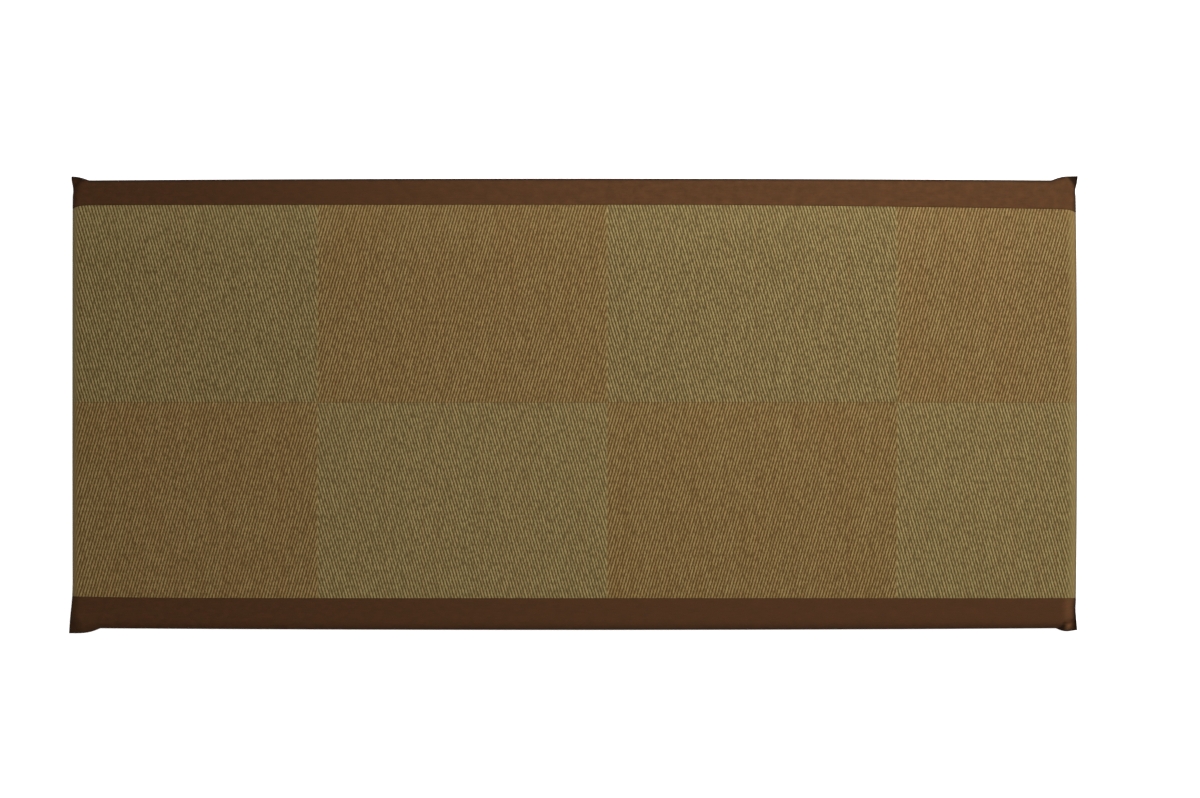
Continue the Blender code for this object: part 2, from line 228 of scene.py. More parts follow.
# %% The skin
def edge_rise(inset_x, inset_y):
    """How far up the rounded edge a point lies, from 0 at the side seam to 1 on top.

    Along the sides the edge is a quarter round. At a corner it is a slope, out to the flat ear.
    """
    part_up = min(1.0, max(0.0, slab_inset(inset_x, inset_y) / EDGE_ROUND))
    round_rise = math.sqrt(1.0 - (1.0 - part_up) ** 2)
    slope_rise = math.sin(part_up * math.pi / 2)
    return round_rise + (slope_rise - round_rise) * cornerness(inset_x, inset_y)


def skin(flat_x, flat_y, depth, lowered=0.0):
    """Point at this depth under the cover's upper face. Lowered drops its rim, for a neighbour below."""
    inset_x, inset_y = insets(flat_x, flat_y)
    rise = edge_rise(inset_x, inset_y)
    side_drop = SIDE_CROWN * fade(inset_y, SIDE_CROWN_REACH)
    end_drop = END_CROWN * fade(inset_x, END_CROWN_REACH)
    top = THICKNESS - side_drop - end_drop - depth
    seam = SEAM_HEIGHT - lowered
    creased = seam_height(flat_x, flat_y) - SEAM_HEIGHT
    flat_depth = (depth - lowered) * (1.0 - rise) * cornerness(inset_x, inset_y)
    x, y = plan(flat_x, flat_y, depth)
    return Vector((x, y, seam + (top - seam) * rise + creased - flat_depth))


middle_top = skin(0.0, 0.0, 0.0)
print("middle of the cover at", [round(value, 4) for value in middle_top])

# %% [markdown]
# ## Painted shade in folds and on rims
# Cloth looks darker where it turns down to a seam or lies in the trough of a fold, where less light gets
# in. That shade is painted into the colour: each point of the cloth keeps a value for it, from 0 in the
# open to 1 deep in a fold, and the materials darken their colour by it. It could be painted by hand, but
# worked out from the table of creases it follows every change to them. A value below 0 makes the cloth
# lighter, a painted highlight, as on the crest of the near right ear.

# %% Painted shade of a place
# A trough this deep is painted in full shade, and a ridge this high is painted free of shade
FULL_SHADE_TROUGH = 0.0032
FULL_LIGHT_RIDGE = 0.0034
# Painted shade beside each rim: how far in it reaches, and how dark it is at the rim
LEFT_RIM = (0.020, 0.50)
RIGHT_RIM = (0.010, 0.95)
RUSH_RIGHT_RIM = (0.0055, 0.85)
FAR_RIM = (0.007, 0.95)
NEAR_RIM = (0.020, 0.45)
RIM_POWER = 1.3
# Painted highlights on the near strip, at its right end and on the crest of its ear
Light = namedtuple("Light", "in_x in_y reach_x reach_y amount")
NEAR_RIGHT_PAINTED_LIGHTS = (
    Light(in_x=0.0160, in_y=0.045, reach_x=0.0080, reach_y=0.034, amount=0.70),
    Light(in_x=0.0155, in_y=0.006, reach_x=0.0050, reach_y=0.0048, amount=1.00),
)


def painted_light_at(flat_x, flat_y):
    """Painted highlight on the near border where it turns over its right end and on the crest of its ear.
    """
    if flat_x < 0 or flat_y > 0:
        return 0.0
    inset_x, inset_y = insets(flat_x, flat_y)
    return sum(
        light.amount
        * math.exp(-(((inset_x - light.in_x) / light.reach_x) ** 2))
        * math.exp(-(((inset_y - light.in_y) / light.reach_y) ** 4))
        for light in NEAR_RIGHT_PAINTED_LIGHTS
    )


def painted_fold_shade(flat_x, flat_y, right_rim):
    """How much painted shade a place gets, from 0 in the open to 1 deep in a fold or on the rim."""
    inset_x, inset_y = insets(flat_x, flat_y)
    open_share = 1.0
    heights = crease_heights(flat_x, flat_y)
    for height in heights:
        open_share *= 1.0 - min(1.0, max(0.0, -height / FULL_SHADE_TROUGH))
    for inset, (reach, strength) in (
        (inset_x, right_rim if flat_x > 0 else LEFT_RIM),
        (inset_y, FAR_RIM if flat_y > 0 else NEAR_RIM),
    ):
        open_share *= 1.0 - strength * fade(inset, reach, RIM_POWER)
    ridge = max(heights) / FULL_LIGHT_RIDGE
    return (1.0 - open_share) * (1.0 - min(1.0, max(0.0, ridge)))


print("shade at the middle of the near rim", round(painted_fold_shade(0.0, -HALF_WIDTH, RIGHT_RIM), 2))

# %% [markdown]
# ## Seams between the rush and the border strips
# The binding strips aren't quite straight on a hand-sewn mat: the far one slants in towards the right
# end, and both seams dip or rise in the last stretch. Both neighbours of a seam read its place from one
# function, so they always meet.

# %% Seam lines
FAR_SEAM = 0.3950
FAR_LEFT_DIP = 0.0010
FAR_LEFT_DIP_LENGTH = 0.30
FAR_SLANT = 0.0085
FAR_SLANT_START = 0.20
FAR_SLANT_LENGTH = 0.75
FAR_END_DIP = 0.0070
FAR_END_DIP_LENGTH = 0.010
NEAR_SEAM = -0.3835
NEAR_LEFT_RISE = 0.0035
NEAR_LEFT_RISE_LENGTH = 0.15
SEAM_GROOVE = 0.0009


def seam_line(side, x):
    """Where the rush meets a border strip, as a distance across the cover from its middle."""
    if side > 0:
        slant_share = min(1.0, max(0.0, (x - FAR_SLANT_START) / FAR_SLANT_LENGTH))
        end_dip = FAR_END_DIP * math.exp(-(HALF_LENGTH - abs(x)) / FAR_END_DIP_LENGTH)
        left_dip = FAR_LEFT_DIP * math.exp(-(x + HALF_LENGTH) / FAR_LEFT_DIP_LENGTH)
        line = FAR_SEAM - FAR_SLANT * slant_share**SOFT_POWER - end_dip - left_dip
        bow = FAR_BOW
    else:
        line = NEAR_SEAM + NEAR_LEFT_RISE * math.exp(-(x + HALF_LENGTH) / NEAR_LEFT_RISE_LENGTH)
        bow = -NEAR_BOW
    spread = (line / HALF_WIDTH) ** 2
    return line - MIDDLE_Y - bow * (1.0 - (x / HALF_LENGTH) ** 2) * spread


print("between its seams the rush is", round(seam_line(1, 0.0) - seam_line(-1, 0.0), 4), "m wide")

# %% [markdown]
# ## Flat grids
# Each cloth starts as a flat grid, as cloth comes off the roll. Its lines are set by the shape: close
# together over the rounded edge and in the corners, where it bends and creases, and wide apart on the
# plain top. A grid of equal squares would need many times the faces for the same corners.

# %% Grid lines for every cloth
ROUND_STEPS = 8
CORNER_STEP = 0.0022
CORNER_REACH = 0.066
LENGTH_STEP = 0.006


def round_insets():
    """Insets of the grid lines over the rounded edge, from the rim inwards, at equal angles."""
    angles = [step * math.pi / 2 / ROUND_STEPS for step in range(ROUND_STEPS + 1)]
    return [EDGE_ROUND * (1.0 - math.cos(angle)) for angle in angles]


def even_steps(start, end, step):
    """Places after start, up to and with end, spaced about this far apart."""
    count = max(1, round(abs(end - start) / step))
    return [start + (end - start) * place / count for place in range(1, count + 1)]


def length_lines(step):
    """Places along the cover of the grid lines that run across it, closer together at the corners."""
    near_end = even_steps(EDGE_ROUND, CORNER_REACH, CORNER_STEP)
    half = [HALF_LENGTH - inset for inset in (*round_insets(), *near_end)]
    half += even_steps(HALF_LENGTH - CORNER_REACH, 0.0, step)
    return [-x for x in half] + half[-2::-1]


print("grid lines across the cover", len(length_lines(LENGTH_STEP)))


# %% From grid lines to a mesh
def unit_grid(columns, rows):
    """A flat grid, one metre square, with this many columns and rows of points."""
    mesh = bmesh.new()
    bmesh.ops.create_grid(mesh, x_segments=columns - 1, y_segments=rows - 1, size=0.5)
    return mesh


def column_and_row(point, columns, rows):
    """Numbers of the column and the row of a point of a unit grid."""
    return round((point.co.x + 0.5) * (columns - 1)), round((point.co.y + 0.5) * (rows - 1))


def grid_on(columns, rows):
    """A grid on these lines, and the layer that keeps each point's place on the cover and its row."""
    mesh = unit_grid(len(columns), len(rows))
    address = mesh.verts.layers.float_vector.new("address")
    for point in mesh.verts:
        column, row = column_and_row(point, len(columns), len(rows))
        point[address] = (columns[column], rows[row].across(columns[column]), row)
    return mesh, address


def points_made(result):
    """The new points in what an extrusion gives back."""
    return [item for item in result["geom"] if isinstance(item, bmesh.types.BMVert)]


trial = unit_grid(3, 2)
print("a grid of 3 columns and 2 rows has", len(trial.verts), "points")
trial.free()

# %% From a mesh to an object
SHARP_DEGREES = 60


def as_object(name, mesh, sharp_degrees=SHARP_DEGREES):
    """Turns a finished bmesh into an object at the origin, smooth except at its real edges."""
    data = bpy.data.meshes.new(name)
    mesh.to_mesh(data)
    mesh.free()
    data.shade_smooth()
    data.set_sharp_from_angle(angle=math.radians(sharp_degrees))
    piece = bpy.data.objects.new(name, data)
    bpy.context.scene.collection.objects.link(piece)
    triangles = sum(len(face.vertices) - 2 for face in data.polygons)
    print(name, "has", len(data.vertices), "points and", triangles, "triangles")
    return piece


print("edges turned by more than", SHARP_DEGREES, "degrees stay sharp")

# %% [markdown]
# ## The rush face
# Igusa rush is a thin round stem. The stems lie side by side across the mat, and cotton warps hidden
# between them bind them in a four-end twill: every stem passes over three warps and under one, and each
# stem starts one warp further on than its neighbour. The floats line up in slanting ribs. Eight fields
# alternate the direction of the slant, so the ribs meet in arrowheads where two fields touch.
#
# The ribs are real relief, so they are modelled. A grid whose columns lean with the ribs needs only four
# columns a rib. Each field is such a grid, cut off straight at the field's edges. The pitch divides the
# width of a field, so the columns of neighbours end in the same points there and can be welded.

# %% Weave of the rush
FIELD_LENGTH = 0.5725
RIBS_PER_FIELD = 93.5
STEMS_PER_RIB = 4
RIB_PITCH = FIELD_LENGTH / RIBS_PER_FIELD
STEM_PITCH = RIB_PITCH / STEMS_PER_RIB
WARP_PITCH = 0.00505
TWILL_SLOPE = STEM_PITCH / WARP_PITCH
CROSSING_X = 0.0652
CROSSING_Y = 0.0040
RIB_DEPTH = 0.00055
RIB_SHARPNESS = 1.5
FIRST_FIELD = -2
LAST_FIELD = 1
PLAIN_END = HALF_LENGTH - EDGE_ROUND
FAR_FIELD = FAR_SEAM - CROSSING_Y
NEAR_FIELD = CROSSING_Y - NEAR_SEAM
ROW_WARPS = 6
ROWS_FROM_SEAM = (0.016, 0.008, 0.004, 0.0015, 0.0)
print("ribs every", round(RIB_PITCH * 1000, 2), "mm, leaning", round(TWILL_SLOPE, 3), "along for 1 across")


def lean_of(field, across):
    """+1 where the ribs rise to the right and -1 where they rise to the left."""
    far_lean = 1 if field % 2 else -1
    return far_lean if across > 0 else -far_lean


def field_levels(depth):
    """Rows of a field from its middle line out to the seam, closer together beside the seam."""
    step = ROW_WARPS * WARP_PITCH
    seam_rows = [depth - inset for inset in ROWS_FROM_SEAM]
    plain_rows = [row * step for row in range(math.ceil(seam_rows[0] / step))]
    return [level for level in plain_rows if level < seam_rows[0] - WARP_PITCH] + seam_rows


print("rows of a far field", len(field_levels(FAR_FIELD)))

# %% One field of the rush
SAME_PLACE = 1e-6


def cut_off(mesh, place, outwards):
    """Cuts the flat mesh straight across and clears what lies beyond the cut."""
    everything = [*mesh.verts, *mesh.edges, *mesh.faces]
    bmesh.ops.bisect_plane(
        mesh,
        geom=everything,
        dist=SAME_PLACE,
        plane_co=(place, 0.0, 0.0),
        plane_no=(outwards, 0.0, 0.0),
        clear_outer=True,
    )


def field_mesh(left, right, levels, lean):
    """One field, flat, with its columns leaning along its ribs."""
    shifts = [lean * TWILL_SLOPE * level for level in levels]
    first = math.floor((left - CROSSING_X - max(shifts)) / STEM_PITCH)
    last = math.ceil((right - CROSSING_X - min(shifts)) / STEM_PITCH)
    columns = last - first + 1
    mesh = unit_grid(columns, len(levels))
    for point in mesh.verts:
        column, row = column_and_row(point, columns, len(levels))
        point.co = (CROSSING_X + (first + column) * STEM_PITCH + shifts[row], levels[row], 0.0)
    cut_off(mesh, left, -1.0)
    cut_off(mesh, right, 1.0)
    return mesh


print("columns in a whole field", round(FIELD_LENGTH / STEM_PITCH))

# %% Join the fields and add the plain ends
WELD = 2e-5


def add_to(whole, part):
    """Copies the part's faces into the whole."""
    carrier = bpy.data.meshes.new("carrier")
    part.to_mesh(carrier)
    part.free()
    whole.from_mesh(carrier)
    bpy.data.meshes.remove(carrier)


def levels_at(mesh, place):
    """Heights across the mat of the points on the cut at this place."""
    found = sorted(point.co.y for point in mesh.verts if abs(point.co.x - place) < WELD)
    return [level for i, level in enumerate(found) if i == 0 or level - found[i - 1] > WELD]


def end_mesh(side, levels):
    """The strip that turns down over an end: its columns run straight, close together at the rim."""
    columns = [side * (HALF_LENGTH - inset) for inset in round_insets()]
    mesh = unit_grid(len(columns), len(levels))
    for point in mesh.verts:
        column, row = column_and_row(point, len(columns), len(levels))
        point.co = (columns[column], levels[row], 0.0)
    return mesh


def flat_rush():
    """The whole rush as it is cut: eight fields and two plain ends, welded where they touch."""
    panel = bmesh.new()
    far_levels = field_levels(FAR_FIELD)
    near_levels = [-level for level in field_levels(NEAR_FIELD)]
    for field in range(FIRST_FIELD, LAST_FIELD + 1):
        left = max(-PLAIN_END, CROSSING_X + field * FIELD_LENGTH)
        right = min(PLAIN_END, CROSSING_X + (field + 1) * FIELD_LENGTH)
        for levels in (far_levels, near_levels):
            add_to(panel, field_mesh(left, right, levels, lean_of(field, levels[-1])))
    bmesh.ops.remove_doubles(panel, verts=panel.verts[:], dist=WELD)
    for side in (-1, 1):
        add_to(panel, end_mesh(side, levels_at(panel, side * PLAIN_END)))
    bmesh.ops.remove_doubles(panel, verts=panel.verts[:], dist=WELD)
    return panel


rush_mesh = flat_rush()
loose_edges = sum(1 for edge in rush_mesh.edges if edge.is_boundary)
print("flat rush has", len(rush_mesh.faces), "faces and", loose_edges, "edges on its border")

# %% Relief of the rush
SEAM_DIPS = ((0.0, SEAM_GROOVE), (0.0015, 0.0005), (0.004, 0.0001), (0.008, 0.0))


def eased(value):
    """The value held between 0 and 1, and eased in and out."""
    value = min(1.0, max(0.0, value))
    return value * value * (3.0 - 2.0 * value)


def read_table(table, place):
    """Value between the rows of a short table of (place, value)."""
    for (start, first), (end, last) in zip(table, table[1:]):
        if place <= end:
            return first + (last - first) * eased((place - start) / (end - start))
    return table[-1][1]


def rib_relief(place, across):
    """How far the face lies below the top of the ribs."""
    field = math.floor((place - CROSSING_X) / FIELD_LENGTH)
    lean = lean_of(field, across)
    phase = (place - CROSSING_X - lean * TWILL_SLOPE * across) / RIB_PITCH
    return RIB_DEPTH * ((1.0 - math.cos(2 * math.pi * phase)) / 2) ** RIB_SHARPNESS


print("beside the seam the rush dips by", SEAM_GROOVE * 1000, "mm, between ribs by", RIB_DEPTH * 1000, "mm")

# %% Lay the rush on the skin
RELIEF_FADE = 0.004
ARC_RADIUS = 0.0135


def flat_place(place, across):
    """Place on the cover's rectangle of a point of the flat rush, and its distance from the seam."""
    side = 1 if across > 0 else -1
    depth = FAR_FIELD if side > 0 else NEAR_FIELD
    line = seam_line(side, place) - side * GAP / 2
    middle = CROSSING_Y - MIDDLE_Y
    flat_y = middle + (line - middle) * abs(across) / depth
    return place, flat_y, abs(line - flat_y)


def cloth_length(place):
    """Place along the rush as it was cut, before its ends were turned down."""
    inset = HALF_LENGTH - abs(place)
    if inset >= EDGE_ROUND:
        return place
    turned = math.pi / 2 - math.acos(1.0 - max(inset, 0.0) / EDGE_ROUND)
    return math.copysign(PLAIN_END + ARC_RADIUS * turned, place)


def lay_rush(mesh):
    """Gives the flat rush its thickness, its ribs and its place on the skin."""
    cloth = mesh.verts.layers.float_vector.new("cloth_place")
    shade = mesh.verts.layers.float.new("painted_fold_shade")
    # A new attribute makes Blender forget which points are held, so the extrusion comes after it
    under = set(points_made(bmesh.ops.extrude_face_region(mesh, geom=mesh.faces[:])))
    for point in mesh.verts:
        place, across = point.co.x, point.co.y
        flat_x, flat_y, from_seam = flat_place(place, across)
        point[cloth] = (cloth_length(place), across, 0.0)
        # Painted shade of folds and rims, kept on each point
        point[shade] = painted_fold_shade(flat_x, flat_y, RUSH_RIGHT_RIM)
        depth = RUSH_THICK
        if point not in under:
            inset_x, _ = insets(flat_x, flat_y)
            shown = eased((inset_x - RELIEF_FADE) / EDGE_ROUND) * eased(from_seam / RELIEF_FADE)
            depth = read_table(SEAM_DIPS, from_seam) + rib_relief(place, across) * shown
        point.co = skin(flat_x, flat_y, depth)
    bmesh.ops.recalc_face_normals(mesh, faces=mesh.faces[:])


lay_rush(rush_mesh)
rush_face = as_object("rush_face", rush_mesh)

# %% [markdown]
# ## The border strips
# Each long side is bound with a strip of brown cotton. Its inner edge is folded under and sewn down on
# the rush, which leaves a narrow groove with a soft roll beside it, and its outer edge goes down to the
# side seam. The cloth is thin, so the stitches draw it into faint puckers. A grid of rows that follow
# the seam gives the roll and the groove their own rows.

# %% Rows of a border strip
Row = namedtuple("Row", "across dip filling_dip")
ROLL_ROWS = (
    (0.0, SEAM_GROOVE),
    (0.0007, 0.0003),
    (0.0016, 0.0),
    (0.0030, -0.0001),
    (0.0050, 0.0),
    (0.0090, 0.0),
)
BORDER_ROW_STEP = 0.0045


def border_rows(side):
    """Rows of a border strip from its seam out to the rim."""
    plain_dip = BORDER_THICK + GAP
    rows = []
    for distance, dip in ROLL_ROWS:

        def beside_seam(x, distance=distance):
            return seam_line(side, x) + side * (distance + GAP / 2)

        rows.append(Row(beside_seam, dip, plain_dip))
    last_distance = ROLL_ROWS[-1][0]
    wide = HALF_WIDTH - EDGE_ROUND - abs(seam_line(side, 0.0)) - last_distance
    for share in even_steps(0.0, 1.0, BORDER_ROW_STEP / wide)[:-1]:

        def between(x, share=share):
            inner = seam_line(side, x) + side * last_distance
            outer = side * (HALF_WIDTH - EDGE_ROUND)
            return inner + (outer - inner) * share

        rows.append(Row(between, 0.0, plain_dip))
    for inset in round_insets()[::-1]:
        rows.append(Row(lambda x, inset=inset: side * (HALF_WIDTH - inset), 0.0, plain_dip))
    return rows


print("rows of the far strip", len(border_rows(1)), "and of the near strip", len(border_rows(-1)))

# %% Make the two border strips
PUCKER_LENGTH = 0.017
PUCKER_WIDTH = 0.030
PUCKER_DEPTH = 0.00035
PUCKER_START = 0.003
PUCKER_REACH = 0.020


def pucker(flat_x, flat_y, from_seam):
    """Faint waves that the stitches draw in the cloth, fading away from the seam."""
    wave = noise.noise(Vector((flat_x / PUCKER_LENGTH, flat_y / PUCKER_WIDTH, 0.0)))
    return PUCKER_DEPTH * wave * fade(from_seam, PUCKER_REACH, 1.0) * eased(from_seam / PUCKER_START)


def border_mesh(side):
    """A border strip of two layers, its upper and its under face, on the skin."""
    rows = border_rows(side)
    if side < 0:
        rows = rows[::-1]
    mesh, address = grid_on(length_lines(LENGTH_STEP), rows)
    cloth = mesh.verts.layers.float_vector.new("cloth_place")
    shade = mesh.verts.layers.float.new("painted_fold_shade")
    # A new attribute makes Blender forget which points are held, so the extrusion comes after it
    under = set(points_made(bmesh.ops.extrude_face_region(mesh, geom=mesh.faces[:])))
    for point in mesh.verts:
        flat_x, flat_y, row = point[address]
        from_seam = abs(flat_y - seam_line(side, flat_x))
        dip = rows[round(row)].dip + pucker(flat_x, flat_y, from_seam)
        point[cloth] = (cloth_length(flat_x), flat_y, 0.0)
        # Painted shade of folds and rims, less the painted highlights at the near strip's right end
        point[shade] = painted_fold_shade(flat_x, flat_y, RIGHT_RIM) - painted_light_at(flat_x, flat_y)
        point.co = skin(flat_x, flat_y, dip + BORDER_THICK if point in under else dip)
    bmesh.ops.recalc_face_normals(mesh, faces=mesh.faces[:])
    return mesh


far_border = as_object("far_border_strip", border_mesh(1))
near_border = as_object("near_border_strip", border_mesh(-1))

# %% [markdown]
# ## The filled base
# The filling is a thin firm pad, and the base cloth wraps its lower half. Only the rounded lower edge,
# the seam allowance under the cover and the flat underside show, but the piece is modelled whole, with
# its top just under the other cloths, so that nothing can be seen through at a gap. Rings that are
# extruded from the border of a grid make the ledge, the seam, the underside of the ears and the rounded
# edge in one closed shell.

# %% Rows of the base
BASE_ROW_STEP = 0.03
BASE_LENGTH_STEP = 0.02
CREASE_ROOM = 0.15


def crease_room(flat_x, flat_y):
    """How much lower the filling lies under a crease, so that the cloth over it can bend freely."""
    return CREASE_ROOM * max(abs(height) for height in crease_heights(flat_x, flat_y))


def rush_row_between(share):
    return lambda x: seam_line(-1, x) * (1 - share) + seam_line(1, x) * share


def base_rows():
    """Rows across the whole cover, with how far below the skin the filling lies at each."""
    deep = RUSH_THICK + 2 * GAP
    near = border_rows(-1)[::-1]
    far = border_rows(1)
    middle = even_steps(0.0, 1.0, BASE_ROW_STEP / (FAR_SEAM - NEAR_SEAM))[:-1]
    near = [row._replace(filling_dip=deep) if row.dip > 0.0 else row for row in near]
    far = [row._replace(filling_dip=deep) if row.dip > 0.0 else row for row in far]
    return near + [Row(rush_row_between(share), 0.0, deep) for share in middle] + far


print("rows of the base", len(base_rows()))

# %% Underside of the ears, and the rounded lower edge
LOWER_STEPS = 7
EAR_STEPS = 5


def slide_in(flat_x, flat_y):
    """Direction out of the filling at a point of the rim, and how far the filling's side lies inside it.

    The filling's corners are round, so only a point near a corner of the cover has a way to go.
    """
    inset_x, inset_y = insets(flat_x, flat_y)
    from_centre = Vector((max(0.0, SLAB_CORNER - inset_x), max(0.0, SLAB_CORNER - inset_y)))
    if min(from_centre) > 0.0:
        outwards = from_centre.normalized()
        return outwards, outwards * max(0.0, from_centre.length - SLAB_CORNER)
    return Vector((0.0, 1.0)) if inset_y < inset_x else Vector((1.0, 0.0)), Vector((0.0, 0.0))


def under_face(flat_x, flat_y):
    """Height of the base cloth's lower face beside the side seam, where it follows every crease."""
    under_ear = BORDER_THICK * cornerness(*insets(flat_x, flat_y))
    return seam_height(flat_x, flat_y) - GAP - under_ear - crease_room(flat_x, flat_y) - BASE_THICK


def ear_underside(flat_x, flat_y, part_in):
    """Point of the base cloth under an ear: part_in is 0 at its rim and 1 at the filling's corner."""
    _, slide = slide_in(flat_x, flat_y)
    slide = slide * part_in
    flat_x -= side_of(flat_x) * slide.x
    flat_y -= side_of(flat_y) * slide.y
    depth = min(BORDER_THICK + GAP, slide.length) * (1.0 - part_in)
    x, y = plan(flat_x, flat_y, depth)
    return Vector((x, y, under_face(flat_x, flat_y)))


def lower_skin(flat_x, flat_y, part_down):
    """Point of the base's rounded lower edge: part_down is 0 under the side seam and 1 on the floor."""
    side_x, side_y = side_of(flat_x), side_of(flat_y)
    outwards, slide = slide_in(flat_x, flat_y)
    flat_x -= side_x * slide.x
    flat_y -= side_y * slide.y
    angle = part_down * math.pi / 2
    inwards = outwards * (LOWER_ROUND * (1.0 - math.cos(angle)) + GAP)
    x, y = plan(flat_x, flat_y, 0.0, ears=False)
    height = under_face(flat_x, flat_y) * (1.0 - math.sin(angle))
    return Vector((x - side_x * inwards.x, y - side_y * inwards.y, height))


print("the base cloth's lower face starts", round(under_face(0.0, HALF_WIDTH), 4), "m up")

# %% Make the base
BASE_SHARP_DEGREES = 50


def open_edges(mesh):
    return [edge for edge in mesh.edges if edge.is_boundary]


def base_mesh():
    """The filled base as one closed shell, made from its top grid outwards, down and under."""
    rows = base_rows()
    mesh, address = grid_on(length_lines(BASE_LENGTH_STEP), rows)
    for point in mesh.verts:
        flat_x, flat_y, row = point[address]
        point.co = skin(flat_x, flat_y, rows[round(row)].filling_dip, lowered=GAP)
        point.co.z -= crease_room(flat_x, flat_y)
    ledge = points_made(bmesh.ops.extrude_edge_only(mesh, edges=open_edges(mesh)))
    for point in ledge:
        flat_x, flat_y, _ = point[address]
        point.co = (*plan(flat_x, flat_y, 0.0), under_face(flat_x, flat_y) + BASE_THICK)
    hem = points_made(bmesh.ops.extrude_edge_only(mesh, edges=open_edges(mesh)))
    for point in hem:
        point.co.z -= BASE_THICK
    for step in range(1, EAR_STEPS + 1):
        ring = points_made(bmesh.ops.extrude_edge_only(mesh, edges=open_edges(mesh)))
        for point in ring:
            flat_x, flat_y, _ = point[address]
            point.co = ear_underside(flat_x, flat_y, step / EAR_STEPS)
    for step in range(LOWER_STEPS + 1):
        ring = points_made(bmesh.ops.extrude_edge_only(mesh, edges=open_edges(mesh)))
        for point in ring:
            flat_x, flat_y, _ = point[address]
            point.co = lower_skin(flat_x, flat_y, step / LOWER_STEPS)
    bmesh.ops.contextual_create(mesh, geom=open_edges(mesh))
    # Away from the ears the rings under them lie on the hem, and are joined to it
    bmesh.ops.remove_doubles(mesh, verts=mesh.verts[:], dist=SAME_PLACE)
    # The height is added to both directions, so that the weave goes on down the upright sides
    cloth = mesh.verts.layers.float_vector.new("cloth_place")
    for point in mesh.verts:
        point[cloth] = (point.co.x + point.co.z, point.co.y + point.co.z, 0.0)
    bmesh.ops.recalc_face_normals(mesh, faces=mesh.faces[:])
    return mesh


padded_body = as_object("padded_body", base_mesh(), BASE_SHARP_DEGREES)

# %% [markdown]
# ## Helpers for the materials
# Every material is made of nodes alone, because they keep their grain at any distance, as a picture
# can't. Small helpers keep the code short: they give a socket its value or its link, add the common
# nodes, and start a node group with named inputs and outputs.


# %% Node helpers
def give(tree, socket, given):
    """Links the socket to a given socket, or sets it to a given number or colour."""
    if isinstance(given, bpy.types.NodeSocket):
        tree.links.new(given, socket)
    elif given is not None:
        socket.default_value = given


def add_node(tree, kind, inputs=(), **settings):
    """Adds a node, with its settings, and gives its inputs by name or by number."""
    node = tree.nodes.new(kind)
    for name, value in settings.items():
        setattr(node, name, value)
    for name, given in dict(inputs).items():
        give(tree, node.inputs[name], given)
    return node


def math_of(tree, operation, *given):
    node = add_node(tree, "ShaderNodeMath", operation=operation)
    for socket, value in zip(node.inputs, given):
        give(tree, socket, value)
    return node.outputs[0]


def ramp(tree, value, low, high, to_low=0.0, to_high=1.0):
    """The value carried smoothly from one range to another, and held at both ends."""
    node = add_node(tree, "ShaderNodeMapRange", interpolation_type="SMOOTHSTEP")
    for socket, given in zip(node.inputs, (value, low, high, to_low, to_high)):
        give(tree, socket, given)
    return node.outputs[0]


def mixed(tree, share, first, second, blend="MIX"):
    node = add_node(tree, "ShaderNodeMix", data_type="RGBA", blend_type=blend)
    give(tree, node.inputs[0], share)
    give(tree, node.inputs[6], first)
    give(tree, node.inputs[7], second)
    return node.outputs[2]


def part_way(tree, share, first, second):
    """A number this share of the way from the first to the second."""
    node = add_node(tree, "ShaderNodeMix", data_type="FLOAT")
    give(tree, node.inputs[0], share)
    give(tree, node.inputs[2], first)
    give(tree, node.inputs[3], second)
    return node.outputs[0]


def scaled(tree, vector, scale):
    node = add_node(tree, "ShaderNodeVectorMath", operation="MULTIPLY")
    give(tree, node.inputs[0], vector)
    give(tree, node.inputs[1], scale)
    return node.outputs[0]


node_helpers = (give, add_node, math_of, ramp, mixed, part_way, scaled)
print("node helpers:", ", ".join(helper.__name__ for helper in node_helpers))


# %% Group and colour helpers
def start_group(name, inputs, outputs):
    """A new node group, and its inner input and output nodes."""
    group = bpy.data.node_groups.new(name, "ShaderNodeTree")
    for label, kind in inputs:
        group.interface.new_socket(label, in_out="INPUT", socket_type=kind)
    for label, kind in outputs:
        group.interface.new_socket(label, in_out="OUTPUT", socket_type=kind)
    return group, group.nodes.new("NodeGroupInput"), group.nodes.new("NodeGroupOutput")


def place_group(tree, group, inputs):
    node = add_node(tree, "ShaderNodeGroup", node_tree=group)
    for name, given in inputs.items():
        give(tree, node.inputs[name], given)
    return node


def linear(red, green, blue):
    """Linear colour, with alpha, of a colour given in 0 to 255 on the screen's own curve."""
    shares = [channel / 255 for channel in (red, green, blue)]
    parts = [s / 12.92 if s <= 0.04045 else ((s + 0.055) / 1.055) ** 2.4 for s in shares]
    return (*parts, 1.0)


print("a middle grey is", round(linear(128, 128, 128)[0], 3), "in linear light")

# %% [markdown]
# ## Shared effect: drift of tone
# Nothing grown or dyed is one colour all over. This group gives a soft value that wanders over the
# cloth, stretched along or across it as asked, and all three materials use it at their own scale.

# %% Tone drift group
DRIFT_ROUGHNESS = 0.55
DRIFT_LOW = 0.3
DRIFT_HIGH = 0.7
tone_drift, drift_in, drift_out = start_group(
    "tone_drift",
    [("Place", "NodeSocketVector"), ("Stretch", "NodeSocketVector"), ("Detail", "NodeSocketFloat")],
    [("Tone", "NodeSocketFloat")],
)
drift_vector = scaled(tone_drift, drift_in.outputs["Place"], drift_in.outputs["Stretch"])
drift_detail = drift_in.outputs["Detail"]
drift_noise = add_node(
    tone_drift,
    "ShaderNodeTexNoise",
    {"Vector": drift_vector, "Scale": 1.0, "Detail": drift_detail, "Roughness": DRIFT_ROUGHNESS},
)
drift_tone = ramp(tone_drift, drift_noise.outputs["Fac"], DRIFT_LOW, DRIFT_HIGH)
give(tone_drift, drift_out.inputs["Tone"], drift_tone)
print("group", tone_drift.name, "with", len(tone_drift.nodes), "nodes")
